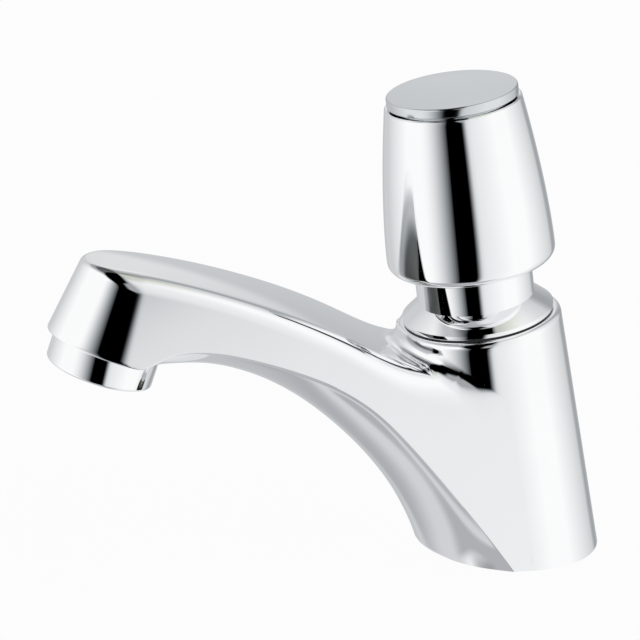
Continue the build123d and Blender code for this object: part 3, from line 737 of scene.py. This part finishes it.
def nose_boss_shell(casting):
    """The round foot of the nose, round the aerator's ring."""
    bm = bmesh.new()
    s = sizes()
    margin, height = 0.5, 6
    foot = s.aerator_rise / MM - 0.05
    radius = s.aerator_radius / MM + margin
    top_radius = radius - height * tan(casting.nose_taper)
    points = rounded([
        (0, foot, 0), (radius, foot, 0.5), (top_radius, foot + height, 0), (0, foot + height, 0)])
    spin_profile(bm, points, 192)
    matrix = outlet_matrix()
    matrix.translation /= MM
    bmesh.ops.transform(bm, matrix=matrix, verts=bm.verts)
    return bm


class OBJECT_OT_tap_casting(bpy.types.Operator):
    """Barrel, spout, root fillet and nose of the casting"""
    bl_idname = "object.tap_casting"
    bl_label = "Casting"

    def execute(self, context):
        casting = Casting()
        whole = bmesh.new()
        for shell in (barrel_shell(casting), spout_shell(casting), root_fillet_shell(casting),
                      nose_boss_shell(casting)):
            mesh = bpy.data.meshes.new("shell")
            shell.to_mesh(mesh)
            shell.free()
            whole.from_mesh(mesh)
            bpy.data.meshes.remove(mesh)
        bmesh.ops.scale(whole, vec=(MM, MM, MM), verts=whole.verts)
        keep(whole, "casting", "tap", "chrome", ["tap_body"], sharp=24.0, merge=False)
        return {"FINISHED"}


# Turned pieces

def turned_piece(corners, name, body, slot, replaced, matrix=None, parts=6, steps=160, sharp=32.0):
    """A piece turned from (radius, height, rounding) corners in metres."""
    bm = bmesh.new()
    spin_profile(bm, rounded(corners, parts), steps, matrix)
    return keep(bm, name, body, slot, replaced, sharp)


class OBJECT_OT_tap_bonnet(bpy.types.Operator):
    """Collar with its gasket, convex shoulder and neck that the button slides on"""
    bl_idname = "object.tap_bonnet"
    bl_label = "Bonnet"

    def execute(self, context):
        s = sizes()
        seat = s.rim_height + 0.4 * MM
        collar_top = seat + 1.2 * MM
        shoulder_rise, bulge_share = 3.8 * MM, 0.52
        neck_foot, neck_top = collar_top + shoulder_rise, 99.9 * MM
        spigot_radius, well_radius, spindle_hole = 16.9 * MM, 12.4 * MM, 4 * MM
        spigot_foot, well_floor = s.rim_height - 3 * MM, s.rim_height + 4 * MM
        start, end = Vector((s.collar_radius, collar_top)), Vector((s.neck_radius, neck_foot))
        middle = Vector(((s.collar_radius + s.neck_radius) / 2, collar_top + bulge_share * shoulder_rise))
        control = middle * 2 - (start + end) / 2
        points = rounded([
            (spigot_radius, spigot_foot, 0), (spigot_radius, seat, 0), (s.collar_radius, seat, 0.25 * MM),
            (s.collar_radius, collar_top, 0)], 4)
        points += [curve_point(start, control, end, step / 12) for step in range(1, 13)]
        points += rounded([
            (s.neck_radius, neck_foot, 0), (s.neck_radius, neck_top, 0.8 * MM),
            (well_radius, neck_top, 0.3 * MM), (well_radius, well_floor, 0), (spindle_hole, well_floor, 0),
            (spindle_hole, spigot_foot, 0)])[1:]
        bm = bmesh.new()
        spin_profile(bm, points, 192, button_matrix())
        keep(bm, "bonnet_shell", "tap", "chrome", ["bonnet"], 24.0)
        sunk, outer = 0.02 * MM, s.collar_radius - 0.2 * MM
        low, high = s.rim_height - sunk, seat + sunk
        turned_piece(
            [(spigot_radius, low, 0), (outer, low, 0), (outer, high, 0), (spigot_radius, high, 0)],
            "bonnet_gasket", "tap", "black_rubber", (), button_matrix())
        return {"FINISHED"}


class OBJECT_OT_tap_button(bpy.types.Operator):
    """The button's tapering shell and its top disc"""
    bl_idname = "object.tap_button"
    bl_label = "Button"

    def execute(self, context):
        s = sizes()
        foot, top = s.knob_foot, s.knob_foot + s.knob_height
        straight_share, taper_share, taper_power = 0.06, 0.197, 1.573
        edge, chamfer, rim_drop = 2.4 * MM, 0.35 * MM, 0.3 * MM
        bore, cavity_radius, cavity_foot = s.neck_radius + 0.08 * MM, 19.0 * MM, foot + 5 * MM
        socket_radius, socket_floor = 15.35 * MM, top - 13.5 * MM
        screw_hole, web_foot = 2.05 * MM, top - 17.2 * MM
        points = [Vector((bore, foot + chamfer)), Vector((bore + chamfer, foot))]
        for step in range(12, 0, -1):
            turn = pi / 2 * step / 12
            points.append(Vector((s.knob_radius - edge * (1 - cos(turn)), foot + edge - edge * sin(turn))))
        for step in range(61):
            share = step / 60
            rise = straight_share + (1 - straight_share) * share
            radius = s.knob_radius * (1 - taper_share * share ** taper_power)
            points.append(Vector((radius, foot + rise * s.knob_height)))
        rim_radius = points[-1].x
        points[-1].y -= rim_drop
        points += [Vector(place) for place in (
            (rim_radius - chamfer, top), (socket_radius, top), (socket_radius, socket_floor),
            (screw_hole, socket_floor), (screw_hole, web_foot), (socket_radius, web_foot),
            (cavity_radius, cavity_foot), (bore, cavity_foot))]
        bm = bmesh.new()
        spin_profile(bm, points, 256, button_matrix())
        keep(bm, "button_shell", "button", "chrome", ["push_knob"], 30.0)
        plug_radius, plug_depth, thickness = 15.3 * MM, 6.5 * MM, 2.5 * MM
        rest = top + 0.4 * MM
        turned_piece(
            [(0, rest - plug_depth, 0), (plug_radius, rest - plug_depth, 0.3 * MM), (plug_radius, rest, 0),
             (s.disc_radius, rest, 0.25 * MM), (s.disc_radius, rest + thickness, 0.55 * MM),
             (0, rest + thickness, 0)],
            "button_disc", "button", "chrome_disc", ["top_disc"], button_matrix(), steps=192)
        return {"FINISHED"}


class OBJECT_OT_tap_spring(bpy.types.Operator):
    """The return spring, in its imported shape"""
    bl_idname = "object.tap_spring"
    bl_label = "Return spring"

    def execute(self, context):
        bm = bmesh.new()
        bm.from_mesh(frame["nodes"]["return_spring"].data)
        piece = keep(bm, "spring", "tap", "spring_steel", ["return_spring"])
        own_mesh(piece)
        return {"FINISHED"}


class OBJECT_OT_tap_aerator(bpy.types.Operator):
    """The ring that screws into the nose"""
    bl_idname = "object.tap_aerator"
    bl_label = "Aerator ring"

    def execute(self, context):
        s = sizes()
        bore, lip_radius, mouth_radius, thread_radius = 10.8 * MM, 9.95 * MM, 10.6 * MM, 12.0 * MM
        insert_seat, lip_height = 0.9 * MM, 0.25 * MM
        shoulder, top = s.aerator_rise - 0.02 * MM, s.aerator_rise + 6.4 * MM
        turned_piece(
            [(bore, insert_seat, 0), (lip_radius, insert_seat, 0.1 * MM), (lip_radius, lip_height, 0.1 * MM),
             (mouth_radius, 0, 0.2 * MM), (s.aerator_radius, 0, 0.7 * MM),
             (s.aerator_radius, shoulder, 0.15 * MM), (thread_radius, shoulder, 0), (thread_radius, top, 0),
             (bore, top, 0)],
            "aerator_ring", "tap", "chrome", ["aerator_housing"], outlet_matrix(), steps=192)
        return {"FINISHED"}


def thread_ridge(name, core, low, high):
    """A run of the tail's thread between two heights, one helical ridge round the core."""
    s = sizes()
    pitch = s.thread_pitch
    flank, crest, root = 0.40 * pitch, 0.10 * pitch, core - 0.4 * MM
    section = [(root, -flank), (core, -flank), (s.tail_radius, -crest), (s.tail_radius, crest), (core, flank),
               (root, flank)]
    bm = bmesh.new()
    verts = [bm.verts.new((radius, 0, low + flank + height)) for radius, height in section]
    edges = [bm.edges.new(pair) for pair in zip(verts, verts[1:] + verts[:1])]
    cap = bm.faces.new(verts)
    turns = (high - low - 2 * flank) / pitch
    steps = int(48 * turns)
    bmesh.ops.spin(
        bm, geom=[cap] + edges + verts, cent=(0, 0, 0), axis=(0, 0, 1), dvec=(0, 0, pitch * turns / steps),
        angle=2 * pi * turns, steps=steps, use_duplicate=False)
    keep(bm, name, "tap", "nickel", sharp=40.0)


def tail_washer(name, slot, node, foot, thickness, inner_round, outer_round):
    """A flat washer round the tail."""
    bore, radius, top = sizes().tail_radius + 0.25 * MM, 21 * MM, foot + thickness
    turned_piece(
        [(bore, foot, 0), (radius, foot, outer_round), (radius, top, outer_round), (bore, top, inner_round),
         (bore, foot + thickness / 3, 0)],
        name, "tap", slot, [node])


def back_nut(top, low, flats):
    """A hexagon nut with chamfered corners, flats being half the width across its flats."""
    bm = bmesh.new()
    bmesh.ops.create_circle(bm, segments=6, radius=flats / cos(pi / 6))
    bmesh.ops.subdivide_edges(bm, edges=bm.edges[:], cuts=11)
    bmesh.ops.translate(bm, vec=(0, 0, low), verts=bm.verts[:])
    walls = bmesh.ops.extrude_edge_only(bm, edges=bm.edges[:])["geom"]
    bmesh.ops.translate(bm, vec=(0, 0, top - low), verts=of_type(walls, bmesh.types.BMVert))
    chamfer = tan(radians(30))
    face_radius, bore = flats - 0.3 * MM, sizes().tail_radius + 0.05 * MM

    def drawn_in(edges, radius):
        """Extrudes a rim's edges and draws the new rim in to a circle, and gives back its edges."""
        made = bmesh.ops.extrude_edge_only(bm, edges=edges)["geom"]
        moved = of_type(made, bmesh.types.BMVert)
        for vert in moved:
            vert.co.xy = vert.co.xy.normalized() * radius
        return [edge for edge in of_type(made, bmesh.types.BMEdge)
                if all(vert in moved for vert in edge.verts)]

    rims = []
    for level, sign in ((top, -1), (low, 1)):
        ring = [vert for vert in bm.verts if abs(vert.co.z - level) < 1e-6]
        face = drawn_in([edge for edge in bm.edges if all(vert in ring for vert in edge.verts)], face_radius)
        for vert in ring:
            vert.co.z += sign * max(0.0, vert.co.xy.length - face_radius) * chamfer
        rims += drawn_in(face, bore)
    bmesh.ops.bridge_loops(bm, edges=rims)
    keep(bm, "nut", "tap", "nickel", ["back_nut"], 20.0)


class OBJECT_OT_tap_tail(bpy.types.Operator):
    """The threaded tail, its washers and back nut"""
    bl_idname = "object.tap_tail"
    bl_label = "Tail and fixing"

    def execute(self, context):
        s = sizes()
        foot, head, step_rise = -48 * MM, 9.6 * MM, 1 * MM
        core = s.tail_radius - 1.05 * MM
        bore, strainer_bore, outer = 6.5 * MM, 7.95 * MM, core + 0.1 * MM
        turned_piece(
            [(bore, head, 0), (bore, foot + step_rise, 0), (strainer_bore, foot + step_rise, 0),
             (strainer_bore, foot, 0.15 * MM), (outer, foot, 0.4 * MM), (outer, head, 0)],
            "tail_core", "tap", "nickel", ["threaded_tail"], steps=96)
        thread_ridge("tail_thread_upper", core, -32.9 * MM, 1.7 * MM)
        thread_ridge("tail_thread_lower", core, -47.4 * MM, -34.6 * MM)
        rubber_foot, steel_foot, nut_foot = -23 * MM, -24.5 * MM, -31.5 * MM
        tail_washer(
            "rubber_washer", "black_rubber", "tail_rubber_washer", rubber_foot, 3 * MM, 0.3 * MM, 0.7 * MM)
        tail_washer("steel_washer", "steel", "fixing_washer", steel_foot, 1.5 * MM, 0.1 * MM, 0.35 * MM)
        back_nut(steel_foot, nut_foot, flats=13.5 * MM)
        return {"FINISHED"}


class OBJECT_OT_tap_inner_parts(bpy.types.Operator):
    """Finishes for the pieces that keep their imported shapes"""
    bl_idname = "object.tap_inner_parts"
    bl_label = "Inner parts"

    def execute(self, context):
        for subpart in frame["record"]["subparts"]:
            node = frame["nodes"][subpart["node"]]
            node.data.materials.clear()
            node.data.materials.append(materials()[subpart["material_slot"]])
        return {"FINISHED"}


# Stage

def look_matrix(azimuth, elevation, roll):
    """Columns right, up and back of a camera at these angles."""
    back = Vector((sin(azimuth) * cos(elevation), -cos(azimuth) * cos(elevation), sin(elevation)))
    level = Vector((cos(azimuth), sin(azimuth), 0))
    rise = back.cross(level)
    right = level * cos(roll) + rise * sin(roll)
    up = -level * sin(roll) + rise * cos(roll)
    return Matrix((right, up, back)).transposed()


def side_walls(turn, rise):
    """Light of the left and right walls, with the black gap in front between them."""
    above = rise.math("MAXIMUM", rise - 5.0, 0.0)
    gap_left = -15.0 - above * 0.5 - above * above * 0.003
    softest, sharpest = 46.0, 14.0
    gap_soft = above.math("MAXIMUM", softest - above * 2.5, sharpest)
    left_light = above.math("SINE", ((gap_left - turn) / gap_soft).slope(0.0, 1.0) * (pi / 2))
    gap_right = 9.0 - rise.step(2.0, 14.0) * 14.0 + rise.step(35.0, 50.0) * 9.0
    strip_light, near_light, next_light, far_light = 0.40, 0.75, 0.08, 0.17
    strip = rise.step(0.0, 10.0) * strip_light
    right_light = ((turn - gap_right).step(-2.0, 6.0) * strip + turn.step(8.0, 18.0) * (near_light - strip)
                   + turn.slope(17.0, 22.0) * next_light + turn.slope(22.0, 60.0) * far_light)
    return left_light + right_light


def corners_and_far_wall(away, rise, right):
    """How much the walls' light falls off towards the corners, and stands again on the far wall."""
    corner = away.slope(86.0, 138.0) * 0.36 + away.step(134.0, 146.0) * right * 0.25
    far = away.step(150.0, 178.0) * (0.34 + right * 0.25)
    foot = 0.37 - rise.step(7.0, 13.0) * 0.15 - rise.step(23.0, 34.0) * 0.12
    return 1 - corner + far - away.step(150.0, 176.0) * foot


def tent_world(stage):
    """A white tent with a black gap in front, a grey far side, a darker ceiling and a table.

    Light is set by direction, in degrees: turn is round from the camera to the right, and rise is upwards.
    """
    world = bpy.data.worlds.new("tent")
    world.use_nodes = True
    bpy.context.scene.world = world
    shader = Shader(world.node_tree)
    way = shader.node("ShaderNodeTexCoord")["Generated"]
    parts = shader.node("ShaderNodeSeparateXYZ", {}, {"Vector": way})
    x, y, z = parts["X"], parts["Y"], parts["Z"]
    toward = x * sin(stage.azimuth) - y * cos(stage.azimuth)
    across = x * cos(stage.azimuth) + y * sin(stage.azimuth)
    turn = across.math("ARCTAN2", across, toward) * (180 / pi)
    rise = z.math("ARCSINE", z) * (180 / pi)
    away = turn.math("ABSOLUTE", turn)
    right = turn.step(-5.0, 12.0) - turn.step(150.0, 180.0) * 0.5 + (1 - turn.step(-180.0, -150.0)) * 0.5
    wall = side_walls(turn, rise) * corners_and_far_wall(away, rise, right)

    left_ceiling = (rise.step(38.0, 50.0) * 0.45 + rise.step(52.0, 62.0) * 0.42) * (1 - right)
    right_ceiling = rise.step(58.0, 80.0) * right * 0.35
    wall = wall * (1 - left_ceiling - right_ceiling)
    table = 1 - rise.step(-45.0, -37.0)
    lit_table = (0.47 + turn.step(-50.0, -75.0) * 0.21 - away.step(90.0, 150.0) * (1 - right) * 0.22
                 + turn.step(25.0, 62.0) * 0.38)
    wall = wall * (1 - table) + lit_table * table

    # Shade is cooler than light, the table's more so, and the ceiling is a little warm
    shaded = 1 - wall
    tone = shader.node("ShaderNodeCombineColor", {}, {
        "Red": wall * (1 - shaded * 0.11), "Green": wall * (1 - shaded * (0.05 + table * 0.05)),
        "Blue": wall * (1 - rise.step(60.0, 76.0) * 0.1)})["Color"]
    seen = shader.node("ShaderNodeLightPath")
    tent = shader.node("ShaderNodeBackground", {}, {"Color": tone, "Strength": 1.0})["Background"]
    plain = shader.node("ShaderNodeBackground", {}, {"Color": (1, 1, 1, 1), "Strength": 1.0})["Background"]
    mixed = shader.node("ShaderNodeMixShader", {}, {0: seen["Is Camera Ray"], 1: tent, 2: plain})["Shader"]
    shader.node("ShaderNodeOutputWorld", {}, {"Surface": mixed})


def floor_material():
    """Matt and pale, nearly white to the camera, and clear from beneath."""
    material, shader = new_material("floor")
    seen = shader.node("ShaderNodeLightPath")
    camera_share = seen["Is Camera Ray"] * 0.95
    matt = shader.node("ShaderNodeBsdfDiffuse", {}, {"Color": (*finishes().floor, 1.0)})["BSDF"]
    pale = shader.node("ShaderNodeEmission", {}, {"Color": (1, 1, 1, 1), "Strength": 1.0})["Emission"]
    above = shader.node("ShaderNodeMixShader", {}, {0: camera_share, 1: matt, 2: pale})["Shader"]
    beneath = shader.node("ShaderNodeNewGeometry")["Backfacing"]
    clear = shader.node("ShaderNodeBsdfTransparent")["BSDF"]
    either = shader.node("ShaderNodeMixShader", {}, {0: beneath, 1: above, 2: clear})["Shader"]
    shader.node("ShaderNodeOutputMaterial", {}, {"Surface": either})
    return material


class OBJECT_OT_tap_stage(bpy.types.Operator):
    """Camera, pale floor and the white tent"""
    bl_idname = "object.tap_stage"
    bl_label = "Stage"

    def execute(self, context):
        stage = context.scene.tap_stage
        camera = bpy.data.objects.new("camera", bpy.data.cameras.new("camera"))
        context.scene.collection.objects.link(camera)
        camera.data.lens = stage.lens
        camera.data.sensor_width = 36.0
        camera.data.clip_start, camera.data.clip_end = 0.01, 50.0
        turn = look_matrix(stage.azimuth, stage.elevation, stage.roll)
        place = Matrix.Translation(Vector(stage.focus) + turn.col[2] * stage.distance)
        camera.matrix_world = place @ turn.to_4x4()
        context.scene.camera = camera
        context.scene.view_settings.view_transform = "Standard"
        tent_world(stage)

        bm = bmesh.new()
        bmesh.ops.create_circle(bm, cap_ends=True, segments=96, radius=stage.floor_radius)
        mesh = bpy.data.meshes.new("floor")
        bm.to_mesh(mesh)
        bm.free()
        mesh.materials.append(floor_material())
        floor = bpy.data.objects.new("floor", mesh)
        context.scene.collection.objects.link(floor)
        floor.visible_glossy = False
        return {"FINISHED"}


class VIEW3D_PT_tap(bpy.types.Panel):
    """Lists the pieces and their sizes"""
    bl_label = "Push timed tap"
    bl_idname = "VIEW3D_PT_tap"
    bl_space_type = "VIEW_3D"
    bl_region_type = "UI"
    bl_category = "Tap"

    def draw(self, context):
        scene = context.scene
        for operator in OPERATORS:
            self.layout.operator(operator.bl_idname)
        for group in (scene.tap_sizes, scene.tap_finishes, scene.tap_stage):
            box = self.layout.box()
            for name in type(group).__annotations__:
                box.prop(group, name)


OPERATORS = (
    OBJECT_OT_tap_stage, OBJECT_OT_tap_inner_parts, OBJECT_OT_tap_casting, OBJECT_OT_tap_bonnet,
    OBJECT_OT_tap_button, OBJECT_OT_tap_spring, OBJECT_OT_tap_aerator, OBJECT_OT_tap_tail,
)
GROUPS = (("tap_sizes", TapBodySizes), ("tap_finishes", TapFinishes), ("tap_stage", TapStage))


def register():
    for name, group in GROUPS:
        bpy.utils.register_class(group)
        setattr(bpy.types.Scene, name, bpy.props.PointerProperty(type=group))
    for operator in OPERATORS:
        bpy.utils.register_class(operator)
    bpy.utils.register_class(VIEW3D_PT_tap)


def unregister():
    bpy.utils.unregister_class(VIEW3D_PT_tap)
    for operator in reversed(OPERATORS):
        bpy.utils.unregister_class(operator)
    for name, group in reversed(GROUPS):
        delattr(bpy.types.Scene, name)
        bpy.utils.unregister_class(group)


def main():
    register()
    for operator in OPERATORS:
        getattr(bpy.ops.object, operator.bl_idname.split(".")[1])()


if __name__ == "__main__":
    main()
